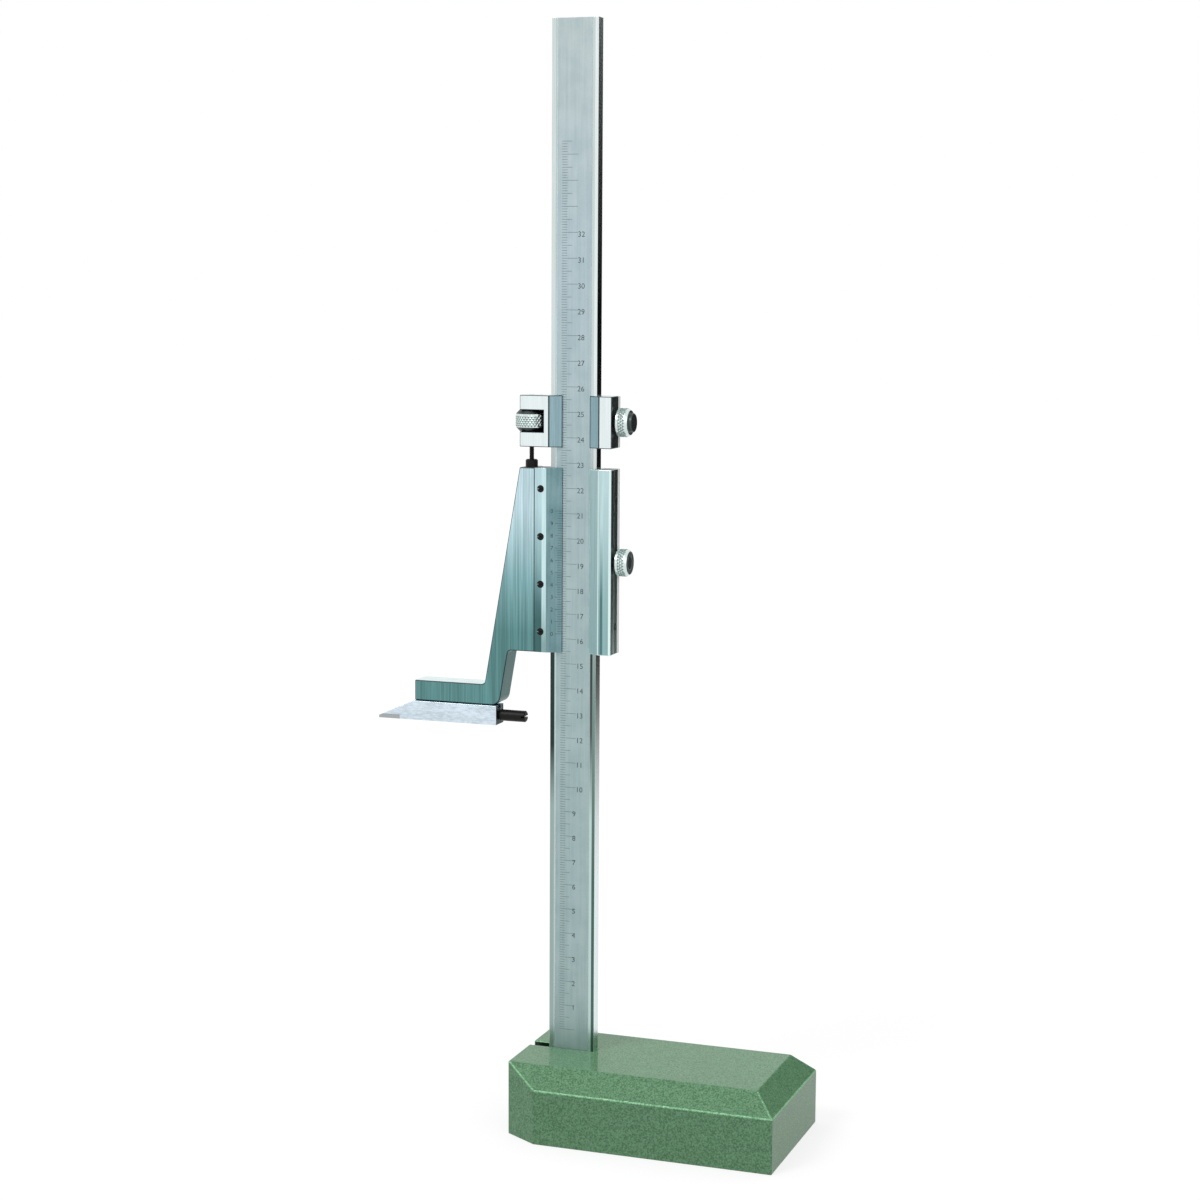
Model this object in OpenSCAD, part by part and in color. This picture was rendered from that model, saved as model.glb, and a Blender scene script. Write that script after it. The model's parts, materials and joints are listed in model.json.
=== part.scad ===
// Vernier height gauge: a steel beam stands in a green block base, and a slider with a long
// arm carries a chisel scriber. A fine feed block above the slider moves it by a knurled nut.
// Millimetres. +X runs right along the base, +Y back, +Z up. The origin is the centre of the
// base's underside. Most pieces are drawn from the beam's lower left front corner.

/* [Base] */
// Length of the base, along X
base_l = 112; // [105:1:130]
// Width of the base, along Y
base_w = 65.4; // [58:0.2:80]
// Height of the base
base_h = 30; // [26:0.5:30]
// How far the sloping top edges reach in from the front, right and back
bevel_run = 8.5; // [5:0.5:10]
// How far the sloping top edges come down
bevel_drop = 8; // [5:0.5:8]
// Cut of the two left upright corners, along X
corner_cut_x = 14; // [8:0.5:18]
// Cut of the two left upright corners, along Y
corner_cut_y = 8.7; // [5:0.1:12]
// Depth of the two relief pockets in the underside
relief_depth = 0.8; // [0.4:0.1:1.5]
// Width of the ground rim round the relief pockets
relief_rim = 11; // [9:0.5:14]
// Width of the ground land between the two relief pockets
relief_land = 16; // [10:1:24]

/* [Beam] */
// Width of the beam
beam_w = 19.2; // [19:0.1:20]
// Thickness of the beam
beam_t = 5.2; // [5:0.1:6]
// Height of the beam's top above the surface plate
beam_top = 440; // [438:1:500]
// Distance of the beam from the base's left end
beam_inset = 8.5; // [7:0.5:12]
// How far the beam's face stands in front of the base's middle
beam_front = 0.5; // [0:0.1:3]
// Height of the slot's floor, on which the beam stands
beam_foot = 4; // [3:0.5:5]
// Width of the bright margin left of the scale's recess
margin_l = 2.3; // [1.5:0.1:3]
// Width of the bright margin right of the scale's recess
margin_r = 2.5; // [1.5:0.1:3]
// Depth of the recess that holds the scale
scale_recess = 0.2; // [0.1:0.05:0.4]

/* [Beam screws] */
// Thread diameter of the two cap screws that hold the beam
beam_screw_d = 4; // [3:0.5:4]
// Head diameter of the cap screws
beam_head_d = 7; // [6:0.1:7]
// Head height of the cap screws
beam_head_h = 4; // [3:0.5:5]
// Distance between the two cap screws, one above the other
beam_screw_pitch = 8; // [7.8:0.1:8.4]
// Height of the middle of the pair above the underside
beam_screw_z = 13.5; // [12.5:0.5:14]
// Thickness of the wall between the slot and the screw heads
beam_screw_wall = 7; // [5:0.5:10]
// How far the cap screws reach into the wall in front of the beam
beam_screw_bite = 9; // [6:0.5:14]

/* [Slider] */
// Height of the slider's lower edge at rest
slider_z = 192.5; // [150:0.5:240]
// Height of the slider
slider_h = 73.5; // [72:0.5:78]
// How far the slider's face stands in front of the beam's face
front_t = 2.75; // [2.5:0.05:3.5]
// Thickness of the back plates
back_t = 2.6; // [2.2:0.1:3.5]
// Distance of the slider's right face from the beam's right edge
right_w = 7.1; // [6.5:0.1:9]
// How far the back plates lap over the left member
back_lap = 6.2; // [5.6:0.1:6.4]
// Width of the vernier plate's flat flange
flange_w = 5.8; // [5.4:0.1:6.2]
// How far the vernier plate's sloping edge reaches over the beam
vernier_over = 4.9; // [4:0.1:6]
// How far left of the beam's left edge the vernier plate's slope starts
vernier_slope = 0.9; // [0.6:0.1:1.2]
// How far the right members reach over the beam
right_over = 2.8; // [2:0.1:4]
// How far right of the beam's right edge the slope of a right member starts
right_slope = 1.8; // [1:0.1:3]
// Thickness of the sloping edges at their tips
edge_t = 0.25; // [0.15:0.05:0.4]

/* [Gib] */
// Thickness of the gib strip beside the beam
gib_t = 1.5; // [1.2:0.1:1.8]
// Thread diameter of the gib's set screws
gib_screw_d = 3; // [2.5:0.5:3]
// Distance of the set screws from the slider's ends
gib_screw_end = 11; // [9:0.5:14]
// How far the set screws lie below the slider's right face
gib_screw_sunk = 0.6; // [0.3:0.1:1]

/* [Arm] */
// Left edge of the slider at its top, from the beam's left edge
arm_top_x = 12.2; // [11.6:0.1:14]
// Left edge of the arm where it meets the foot, from the beam's left edge
arm_foot_x = 27.3; // [26:0.1:30]
// Width of the arm below the slider
leg_w = 7.7; // [7:0.1:9]
// Reach of the foot's tip from the beam's left edge
foot_reach = 57.8; // [52:0.2:60]
// Height of the foot
foot_h = 8.2; // [7:0.1:10]
// Drop of the foot's underside below the slider's lower edge
foot_drop = 22.6; // [21:0.1:24]
// Radius of the arm's outer corner
heel_r = 4; // [2:0.5:4.5]
// Radius of the two inner corners of the arm
crook_r = 1.6; // [1:0.1:2.5]

/* [Scriber] */
// Height of the scriber's bar
scriber_h = 7.85; // [7.6:0.05:9]
// Depth of the scriber's bar, front to back
scriber_w = 8; // [7:0.1:9]
// Middle of the scriber in front of the beam's face
scriber_mid = 0.6; // [0:0.1:1]
// Right end of the scriber, from the beam's left edge
scriber_end = 21.5; // [20.5:0.1:23]
// Tip of the scriber, from the beam's left edge
scriber_reach = 73; // [70:0.5:80]
// Where the scriber's nose starts to slope, from the beam's left edge
nose_start = 58; // [54:0.5:62]
// Height of the scriber's blunt tip
tip_h = 1; // [0.6:0.1:1.5]
// Depth of the chisel edge, front to back
tip_w = 5; // [3:0.5:6.5]
// Thickness of the carbide insert
carbide_t = 1.6; // [1.1:0.1:2]
// Length of the carbide insert
carbide_l = 9; // [6:0.5:12]
// Height of the dovetail under the foot
tenon_h = 1.75; // [1.5:0.05:1.8]
// Width of the dovetail at its root
tenon_neck = 2.6; // [2.2:0.1:3]
// Width of the dovetail at its foot
tenon_w = 3.8; // [3.4:0.1:4.2]

/* [Scriber lock] */
// Thread diameter of the scriber's lock screw
lock_d = 3.5; // [3:0.1:3.7]
// Distance of the lock screw's axis below the floor of the dovetail groove
lock_drop = 2.35; // [2.3:0.05:2.6]
// Diameter of the lock screw's long round head
lock_head_d = 4.6; // [4.2:0.1:4.6]
// Length of that head
lock_head_l = 11.2; // [6:0.2:11.2]
// Gap between that head and the scriber's end
lock_gap = 0.3; // [0.2:0.1:0.6]
// How far the lock screw reaches into the scriber
lock_in = 12.5; // [9:0.5:16]
// Diameter of the plug that the lock screw lifts
plug_d = 3; // [2.4:0.1:3]

/* [Vernier screws] */
// Head diameter of the four vernier plate screws
vernier_head_d = 2.9; // [2.4:0.1:3.2]
// Thread diameter of the four vernier plate screws
vernier_screw_d = 1.6; // [1.4:0.1:1.8]
// Distance of the screws from the beam's left edge
vernier_screw_x = 3.3; // [2.6:0.1:3.6]
// Distance between neighbouring vernier plate screws
vernier_pitch = 19; // [18:0.5:21]

/* [Back plate screws] */
// Head diameter of the back plate screws
back_head_d = 4.2; // [3.6:0.1:4.4]
// Thread diameter of the back plate screws
back_screw_d = 2.4; // [2:0.1:2.5]
// Length of the back plate screws
back_screw_l = 5.6; // [4.6:0.1:6]
// Distance of the left screws from the beam's left edge
back_screw_x = 3.1; // [2.9:0.1:3.4]
// Distance of the outer screws from the slider's ends
back_screw_end = 4.8; // [3.8:0.1:5.6]
// Distance of the inner screws from the slider's middle
back_screw_near = 12; // [9:0.5:16]
// Distance of the feed block's screws from its middle
feed_screw_off = 7.4; // [7.2:0.1:7.6]

/* [Feed block] */
// Gap between the slider and the feed block at rest
feed_gap = 8.2; // [7.5:0.1:10]
// Height of the feed block
feed_h = 20.4; // [20:0.2:24]
// Where the slope of its left member starts, from the beam's left edge
feed_slope = 0.1; // [0:0.1:0.6]
// Diameter of the knurled feed nut
nut_d = 13; // [11:0.1:13]
// Height of the knurled feed nut
nut_h = 8.5; // [7:0.1:8.6]
// Chamfer of the feed nut
nut_chamfer = 1.7; // [1:0.1:2.5]
// Distance of the feed screw from the beam's left edge
feed_x = 9.1; // [8:0.1:9.4]
// Gap between the feed nut and the end of its slot
nut_gap = 0.4; // [0.2:0.1:0.8]
// Thread diameter of the feed screw
feed_d = 2; // [1.8:0.1:2.4]
// How far the feed screw stands above the slider
feed_out = 26; // [25.5:0.5:27]
// How far the feed screw reaches into the slider
feed_in = 10; // [8:0.5:14]
// Diameter of the lock nut on the feed screw
locknut_d = 4.9; // [4.4:0.1:5.2]
// Height of the lock nut on the feed screw
locknut_h = 3; // [2:0.1:3.5]

/* [Clamp screws] */
// Diameter of the slider's knurled clamp head
knob_d = 11; // [9:0.5:13]
// Length of the slider's knurled clamp head
knob_l = 5.3; // [4.5:0.1:8]
// Diameter of the feed block's knurled clamp head
feed_knob_d = 11.5; // [9:0.5:13]
// Length of the feed block's knurled clamp head, without its step
feed_knob_l = 5.2; // [4.5:0.1:8]
// Diameter of the step on the end of the feed block's clamp head
step_d = 7.4; // [5:0.2:8]
// Length of that step
step_l = 1.4; // [1:0.1:2.5]
// Thread diameter of the clamp screws
clamp_d = 4; // [3:0.5:4]
// Thickness of the brass pad under each clamp screw
pad_t = 1.6; // [1.2:0.1:2]
// Gap between a clamp head and the face beside it
knob_gap = 0.9; // [0.4:0.1:1.2]

/* [Clearances] */
// Running clearance between the beam and what slides on it
beam_clear = 0.05; // [0.03:0.01:0.08]
// Radial clearance of screws in their holes
screw_clear = 0.03; // [0.02:0.01:0.05]
// Running clearance of the gib, the dovetail and the feed nut's faces
slide_clear = 0.05; // [0.03:0.01:0.08]
// Radial clearance of screws in through holes
through_clear = 0.2; // [0.15:0.05:0.3]

/* [Hidden] */
$fn = 64;

// A cut runs this far past the face that it opens
past = 1;

// Faces of the channel that holds the beam, from the beam's lower left front corner
left_wall = -beam_clear;
right_wall = beam_w + beam_clear;
lip_back = -beam_clear;
plate_front = beam_t + beam_clear;
slider_face = -front_t;
slider_back = plate_front + back_t;
slider_right = beam_w + right_w;
rail_wall = right_wall + gib_t + slide_clear;
mid_y = beam_t / 2;
clamp_z = slider_h / 2;

// Base faces from the same corner
base_left = -beam_inset;
base_back = base_w / 2 + beam_front;
head_seat = plate_front + beam_screw_wall;
beam_screw_x = beam_w / 2;
beam_screw_zs = [for (side = [-1, 1]) beam_screw_z + side * beam_screw_pitch / 2];

// The arm's slanting left edge, in the slider's own height
arm_lean = (arm_foot_x - arm_top_x) / (slider_h + foot_drop - foot_h);
foot_top = foot_h - foot_drop;
function left_edge(z) = -arm_top_x - arm_lean * (slider_h - z);
function right_edge(z) = left_edge(z) + leg_w;

// The scriber hangs under the foot, and its underside is the measuring face
scriber_top = -foot_drop - slide_clear;
scriber_floor = scriber_top - scriber_h;
groove_h = tenon_h + slide_clear;
lock_z = scriber_h - groove_h - lock_drop;
tenon_end = right_edge(-foot_drop) - heel_r - 1;
lock_tip = -scriber_end - lock_in;
plug_x = lock_tip;
plug_gap = 0.15;

// The feed block stands above the slider
feed_z = slider_h + feed_gap;
feed_mid = feed_h / 2;
nut_room = nut_h + 2 * slide_clear;

// Heights of the slider's small screws, in the slider's own height
vernier_screw_z = [for (i = [-1.5:1:1.5]) clamp_z + i * vernier_pitch];
gib_screw_z = [gib_screw_end, slider_h - gib_screw_end];
back_screw_z = [
    back_screw_end, clamp_z - back_screw_near, clamp_z + back_screw_near, slider_h - back_screw_end
];
feed_screw_z = [for (side = [-1, 1]) feed_mid + side * feed_screw_off];
right_screw_x = (rail_wall + slider_right) / 2 + 0.2;
back_screw_xs = [-back_screw_x, right_screw_x];

// Places what is drawn from the beam's lower left front corner
module at_beam(z = 0) {
    translate([beam_inset - base_l / 2, -beam_front, z]) children();
}

// Places what rides on the slider, at rest
module at_slider(z = 0) {
    at_beam(slider_z + z) children();
}

// An upright outline of X and Z, from y0 to y1
module upright(outline, y0, y1) {
    translate([0, y1, 0]) rotate([90, 0, 0]) linear_extrude(y1 - y0) polygon(outline);
}

// A section of Y and Z, from x0 to x1
module lengthwise(section, x0, x1) {
    translate([x0, 0, 0]) rotate([90, 0, 90]) linear_extrude(x1 - x0) polygon(section);
}

// A cylinder along X from x0 to x1, at y and z
module rod_x(d, x0, x1, y, z) {
    translate([x0, y, z]) rotate([0, 90, 0]) cylinder(d = d, h = x1 - x0);
}

// A cylinder along Y from y0 to y1, at x and z
module rod_y(d, y0, y1, x, z) {
    translate([x, y0, z]) rotate([-90, 0, 0]) cylinder(d = d, h = y1 - y0);
}

// An arc that rounds the corner at p between a and b
function unit(v) = v / norm(v);
function corner(a, p, b, r, steps = 8) =
    let (
        to_a = unit(a - p),
        to_b = unit(b - p),
        half = acos(to_a * to_b) / 2,
        centre = p + unit(to_a + to_b) * r / sin(half),
        start = p + to_a * r / tan(half) - centre,
        end = p + to_b * r / tan(half) - centre,
        from = atan2(start[1], start[0]),
        turn = (atan2(end[1], end[0]) - from + 540) % 360 - 180
    )
    [for (i = [0:steps]) centre + r * [cos(from + turn * i / steps), sin(from + turn * i / steps)]];

// A countersunk screw with its flat head at z = 0 and its point down, grown by a clearance
module countersunk(head_d, shank_d, length, grow = 0, rise = 0) {
    head_r = head_d / 2 + grow;
    shank_r = shank_d / 2 + grow;
    rotate_extrude() polygon([
        [0, rise], [head_r, rise], [head_r, 0],
        [shank_r, shank_r - head_r], [shank_r, -length - grow], [0, -length - grow]
    ]);
}

// The same screw with its driving slot
module slotted_countersunk(head_d, shank_d, length) {
    slot_w = head_d / 5;
    difference() {
        countersunk(head_d, shank_d, length);
        translate([-head_d, -slot_w / 2, -slot_w]) cube([2 * head_d, slot_w, slot_w + past]);
    }
}

module base() {
    half_l = base_l / 2;
    half_w = base_w / 2;
    pocket_l = half_l - relief_rim - relief_land / 2;
    pocket_w = base_w - 2 * relief_rim - 2 * corner_cut_y / 3;
    color("darkseagreen") difference() {
        intersection() {
            linear_extrude(base_h) polygon([
                [-half_l, corner_cut_y - half_w], [corner_cut_x - half_l, -half_w],
                [half_l, -half_w], [half_l, half_w],
                [corner_cut_x - half_l, half_w], [-half_l, half_w - corner_cut_y]
            ]);
            lengthwise([
                [-half_w, 0], [half_w, 0], [half_w, base_h - bevel_drop],
                [half_w - bevel_run, base_h], [bevel_run - half_w, base_h], [-half_w, base_h - bevel_drop]
            ], -half_l, half_l);
            upright([
                [-half_l, 0], [half_l, 0], [half_l, base_h - bevel_drop],
                [half_l - bevel_run, base_h], [-half_l, base_h]
            ], -half_w, half_w);
        }
        for (side = [-1, 1])
            translate([side * (relief_land + pocket_l) / 2 - pocket_l / 2, -pocket_w / 2, -past])
                cube([pocket_l, pocket_w, relief_depth + past]);
        at_beam() {
            translate([base_left - past, lip_back, beam_foot])
                cube([right_wall - base_left + past, plate_front - lip_back, base_h]);
            for (z = beam_screw_zs) {
                rod_y(beam_head_d + through_clear, head_seat, base_back + past, beam_screw_x, z);
                rod_y(beam_screw_d + 2 * through_clear, 0, head_seat + past, beam_screw_x, z);
                rod_y(beam_screw_d + 2 * screw_clear, -beam_screw_bite - past, past, beam_screw_x, z);
            }
        }
    }
}

module beam() {
    color("lightsteelblue") at_beam() difference() {
        translate([0, 0, beam_foot]) cube([beam_w, beam_t, beam_top - beam_foot]);
        translate([margin_l, -past, beam_foot - past])
            cube([beam_w - margin_l - margin_r, scale_recess + past, beam_top - beam_foot + 2 * past]);
        for (z = beam_screw_zs)
            rod_y(beam_screw_d + 2 * through_clear, -past, beam_t + past, beam_screw_x, z);
    }
}

module beam_screws() {
    socket_d = beam_head_d / 2;
    color("dimgray") at_beam() for (z = beam_screw_zs) difference() {
        union() {
            rod_y(beam_screw_d, -beam_screw_bite, head_seat + past, beam_screw_x, z);
            rod_y(beam_head_d, head_seat, head_seat + beam_head_h, beam_screw_x, z);
        }
        translate([beam_screw_x, head_seat + beam_head_h / 2, z]) rotate([-90, 0, 0])
            cylinder(d = socket_d, h = beam_head_h, $fn = 6);
    }
}

// The left member of the slider, with the arm and the dovetail foot in one piece
module slider_frame() {
    bottom_left = [right_edge(0), 0];
    heel = [right_edge(-foot_drop), -foot_drop];
    crook = [left_edge(foot_top), foot_top];
    tip_low = [-foot_reach, -foot_drop];
    tip_high = [-foot_reach, foot_top];
    top_left = [-arm_top_x, slider_h];
    neck = tenon_neck / 2;
    wide = tenon_w / 2;
    color("lightblue") at_slider() {
        difference() {
            upright(concat(
                [top_left, [left_wall, slider_h], [left_wall, 0]],
                corner([left_wall, 0], bottom_left, heel, crook_r),
                corner(bottom_left, heel, tip_low, heel_r),
                [tip_low, tip_high],
                corner(tip_high, crook, top_left, crook_r)
            ), slider_face, slider_back);
            translate([-flange_w, slider_face - past, -past])
                cube([flange_w + past, lip_back - slider_face + past, slider_h + 2 * past]);
            translate([-back_lap, plate_front, -past])
                cube([back_lap + past, back_t + past, slider_h + 2 * past]);
            translate([-feed_x, mid_y, slider_h - feed_in - screw_clear])
                cylinder(d = feed_d + 2 * screw_clear, h = feed_in + past);
            place_vernier_screws() vernier_screw_hole();
            place_slider_back_screws() back_screw_hole();
        }
        translate([0, -scriber_mid, -foot_drop]) lengthwise([
            [-neck, 0], [-wide, -tenon_h], [wide, -tenon_h], [neck, 0]
        ], -foot_reach, tenon_end);
    }
}

// Section of a right member: a bar with a sloping edge over the beam
function rail_section(inner) = [
    [beam_w - right_over, lip_back], [beam_w - right_over, lip_back - edge_t],
    [beam_w + right_slope, slider_face], [slider_right, slider_face],
    [slider_right, plate_front], [inner, plate_front], [inner, lip_back]
];

module slider_rail() {
    color("lightblue") at_slider() difference() {
        linear_extrude(slider_h) polygon(rail_section(rail_wall));
        rod_x(clamp_d + 2 * screw_clear, rail_wall - past, slider_right + past, mid_y, clamp_z);
        for (z = gib_screw_z)
            rod_x(gib_screw_d + 2 * screw_clear, rail_wall - past, slider_right + past, mid_y, z);
        place_slider_back_screws() back_screw_hole();
    }
}

module place_slider_back_screws() {
    for (x = back_screw_xs, z = back_screw_z)
        translate([x, slider_back, z]) rotate([-90, 0, 0]) children();
}

module place_feed_back_screws() {
    for (x = back_screw_xs, z = feed_screw_z)
        translate([x, slider_back, z]) rotate([-90, 0, 0]) children();
}

module place_vernier_screws() {
    for (z = vernier_screw_z)
        translate([-vernier_screw_x, slider_face, z]) rotate([90, 0, 0]) children();
}

module back_screw() {
    slotted_countersunk(back_head_d, back_screw_d, back_screw_l);
}

module back_screw_hole() {
    countersunk(back_head_d, back_screw_d, back_screw_l, screw_clear, past);
}

module vernier_screw() {
    slotted_countersunk(vernier_head_d, vernier_screw_d, front_t + 2);
}

module vernier_screw_hole() {
    countersunk(vernier_head_d, vernier_screw_d, front_t + 2, screw_clear, past);
}

module slider_back_plate() {
    color("lightblue") at_slider() difference() {
        translate([-back_lap, plate_front, 0]) cube([back_lap + slider_right, back_t, slider_h]);
        place_slider_back_screws() back_screw_hole();
    }
}

module slider_back_screws() {
    color("dimgray") at_slider() place_slider_back_screws() back_screw();
}

// A strip with a flat flange that is screwed on and a sloping edge that lies over the scale
module vernier_plate() {
    color("lightcyan") at_slider() difference() {
        linear_extrude(slider_h) polygon([
            [-flange_w, lip_back], [-flange_w, slider_face], [-vernier_slope, slider_face],
            [vernier_over, lip_back - edge_t], [vernier_over, lip_back]
        ]);
        place_vernier_screws() vernier_screw_hole();
    }
}

module vernier_screws() {
    color("black") at_slider() place_vernier_screws() vernier_screw();
}

// The strip that takes up the play beside the beam
module slider_gib() {
    color("silver") at_slider()
        translate([right_wall, 0, 0]) cube([gib_t, beam_t, slider_h]);
}

module gib_screws() {
    tip = right_wall + gib_t;
    end = slider_right - gib_screw_sunk;
    socket = gib_screw_d / 2;
    color("dimgray") at_slider() for (z = gib_screw_z) difference() {
        rod_x(gib_screw_d, tip, end, mid_y, z);
        translate([end - socket, mid_y, z]) rotate([0, 90, 0])
            cylinder(d = gib_screw_d * 0.55, h = socket + past, $fn = 6);
    }
}

// The threaded rod that stands in the slider and carries the knurled nut
module feed_screw() {
    tip = feed_d / 5;
    low = slider_h - feed_in;
    high = slider_h + feed_out;
    color("black") at_slider() translate([-feed_x, mid_y, 0]) rotate_extrude() polygon([
        [0, low], [feed_d / 2 - tip, low], [feed_d / 2, low + tip],
        [feed_d / 2, high - tip], [feed_d / 2 - tip, high], [0, high]
    ]);
}

module feed_screw_locknut() {
    bevel = 0.4;
    inner = feed_d / 2 + screw_clear;
    outer = locknut_d / 2;
    color("black") at_slider(slider_h) translate([-feed_x, mid_y, 0]) rotate_extrude() polygon([
        [inner, 0], [outer, 0], [outer, locknut_h - bevel], [outer - bevel, locknut_h], [inner, locknut_h]
    ]);
}

// A brass pad that the clamp screw presses against what is beside it
module clamp_pad(x) {
    rod_x(clamp_d - 2 * screw_clear, x, x + pad_t, mid_y, 0);
}

// Half outline of a clamp screw, as radius and distance, from its tip at 0
function clamp_outline(reach, head_d, head_l, step, length) =
    let (shank = clamp_d / 2, rim = head_d / 2, bevel = 0.7, end = reach + head_l, drop = head_d / 12)
    concat(
        [[0, 0], [shank - 0.4, 0], [shank, 0.4], [shank, reach]],
        [[rim - bevel, reach], [rim, reach + bevel], [rim, end - drop], [rim - drop, end]],
        step > 0
            ? [[step / 2, end], [step / 2, end + length], [0, end + length]]
            : [[0, end]]
    );

module clamp_screw(x, outline) {
    translate([x, mid_y, 0]) rotate([0, 90, 0]) rotate_extrude() polygon(outline);
}

module slider_clamp_pad() {
    color("goldenrod") at_slider(clamp_z) clamp_pad(right_wall + gib_t);
}

module slider_clamp_screw() {
    tip = right_wall + gib_t + pad_t;
    reach = slider_right + knob_gap - tip;
    color("gainsboro") at_slider(clamp_z)
        clamp_screw(tip, clamp_outline(reach, knob_d, knob_l, 0, 0));
}

// The slot for the knurled nut: open to the left, the front and the back
module nut_slot() {
    slot_end = nut_d / 2 + nut_gap - feed_x;
    translate([slot_end - 2 * nut_d, -nut_d, feed_mid - nut_room / 2])
        cube([2 * nut_d, 3 * nut_d, nut_room]);
}

// The left member of the feed block, slotted for the knurled nut
module feed_block() {
    color("azure") at_slider(feed_z) difference() {
        linear_extrude(feed_h) polygon([
            [-arm_top_x, slider_face], [feed_slope, slider_face],
            [vernier_over, lip_back - edge_t], [vernier_over, lip_back], [left_wall, lip_back],
            [left_wall, plate_front], [-back_lap, plate_front], [-back_lap, slider_back],
            [-arm_top_x, slider_back]
        ]);
        nut_slot();
        translate([-feed_x, mid_y, -past])
            cylinder(d = feed_d + 2 * through_clear, h = feed_h + 2 * past);
        place_feed_back_screws() back_screw_hole();
    }
}

module feed_block_rail() {
    color("azure") at_slider(feed_z) difference() {
        linear_extrude(feed_h) polygon(rail_section(right_wall));
        rod_x(clamp_d + 2 * screw_clear, right_wall - past, slider_right + past, mid_y, feed_mid);
        place_feed_back_screws() back_screw_hole();
    }
}

module feed_block_back_plate() {
    color("azure") at_slider(feed_z) difference() {
        translate([-back_lap, plate_front, 0]) cube([back_lap + slider_right, back_t, feed_h]);
        nut_slot();
        place_feed_back_screws() back_screw_hole();
    }
}

module feed_block_back_screws() {
    color("dimgray") at_slider(feed_z) place_feed_back_screws() back_screw();
}

module feed_nut() {
    inner = feed_d / 2 + slide_clear;
    outer = nut_d / 2;
    color("gainsboro") at_slider(feed_z + feed_mid - nut_h / 2) translate([-feed_x, mid_y, 0])
        rotate_extrude() polygon([
            [inner, 0], [outer - nut_chamfer, 0], [outer, nut_chamfer],
            [outer, nut_h - nut_chamfer], [outer - nut_chamfer, nut_h], [inner, nut_h]
        ]);
}

module feed_clamp_pad() {
    color("goldenrod") at_slider(feed_z + feed_mid) clamp_pad(right_wall);
}

module feed_clamp_screw() {
    tip = right_wall + pad_t;
    reach = slider_right + knob_gap - tip;
    color("gainsboro") at_slider(feed_z + feed_mid)
        clamp_screw(tip, clamp_outline(reach, feed_knob_d, feed_knob_l, step_d, step_l));
}

// The scriber's whole bar: a sloping nose seen from the front, and a chisel seen from above
module scriber_blank() {
    y_front = -scriber_mid - scriber_w / 2;
    y_back = -scriber_mid + scriber_w / 2;
    intersection() {
        upright([
            [-scriber_end, 0], [-scriber_end, scriber_h], [-nose_start, scriber_h],
            [-scriber_reach, tip_h], [-scriber_reach, 0]
        ], y_front, y_back);
        linear_extrude(scriber_h) polygon([
            [-scriber_end, y_front], [-scriber_end, y_back], [-nose_start, y_back],
            [-scriber_reach, y_front + tip_w], [-scriber_reach, y_front]
        ]);
    }
}

module carbide_seat() {
    translate([-scriber_reach - past, -scriber_w - scriber_mid, -past])
        cube([carbide_l + past, 2 * scriber_w, carbide_t + past]);
}

module scriber() {
    neck = tenon_neck / 2 + slide_clear;
    wide = tenon_w / 2 + slide_clear;
    color("lightblue") at_slider(scriber_floor) difference() {
        scriber_blank();
        carbide_seat();
        translate([0, -scriber_mid, scriber_h]) lengthwise([
            [-neck, past], [-neck, 0], [-wide, -groove_h], [wide, -groove_h], [neck, 0], [neck, past]
        ], -scriber_reach - past, past - scriber_end);
        rod_x(lock_d + 2 * screw_clear, lock_tip - plug_d, past - scriber_end, -scriber_mid, lock_z);
        translate([plug_x, -scriber_mid, lock_z])
            cylinder(d = plug_d + 2 * screw_clear, h = scriber_h);
    }
}

// The carbide insert brazed under the nose
module scriber_tip() {
    color("dimgray") at_slider(scriber_floor) intersection() {
        scriber_blank();
        carbide_seat();
    }
}

// The long screw in the scriber's end: a round slotted head, and a cone that lifts the plug
module scriber_lock_screw() {
    cone = lock_d / 2;
    head_r = lock_head_d / 2;
    neck = lock_in + lock_gap;
    length = neck + lock_head_l;
    bevel = 0.4;
    slot_w = lock_head_d / 6;
    color("black") at_slider(scriber_floor) translate([lock_tip, -scriber_mid, lock_z]) difference() {
        rotate([0, 90, 0]) rotate_extrude() polygon([
            [0, 0], [cone, cone], [cone, neck], [head_r - bevel, neck], [head_r, neck + bevel],
            [head_r, length - bevel], [head_r - bevel, length], [0, length]
        ]);
        translate([length - 2 * slot_w, -head_r - past, -slot_w / 2])
            cube([3 * slot_w, 2 * (head_r + past), slot_w]);
    }
}

// The plug that the cone lifts against the dovetail
module scriber_lock_plug() {
    top = scriber_h - groove_h;
    color("goldenrod") at_slider(scriber_floor) translate([plug_x, -scriber_mid, 0]) difference() {
        translate([0, 0, lock_z - plug_d / 2]) cylinder(d = plug_d, h = top - lock_z + plug_d / 2);
        translate([0, 0, lock_z + plug_gap * sqrt(2)]) rotate([0, -45, 0])
            translate([-2 * plug_d, -plug_d, -2 * plug_d]) cube([5 * plug_d, 2 * plug_d, 2 * plug_d]);
    }
}

base();
beam();
beam_screws();
slider_frame();
slider_rail();
slider_back_plate();
slider_back_screws();
vernier_plate();
vernier_screws();
slider_gib();
gib_screws();
feed_screw();
feed_screw_locknut();
slider_clamp_pad();
slider_clamp_screw();
feed_block();
feed_block_rail();
feed_block_back_plate();
feed_block_back_screws();
feed_nut();
feed_clamp_pad();
feed_clamp_screw();
scriber();
scriber_tip();
scriber_lock_screw();
scriber_lock_plug();
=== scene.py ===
import json
import math

import bmesh
import bpy
from mathutils import Matrix, Vector

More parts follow.
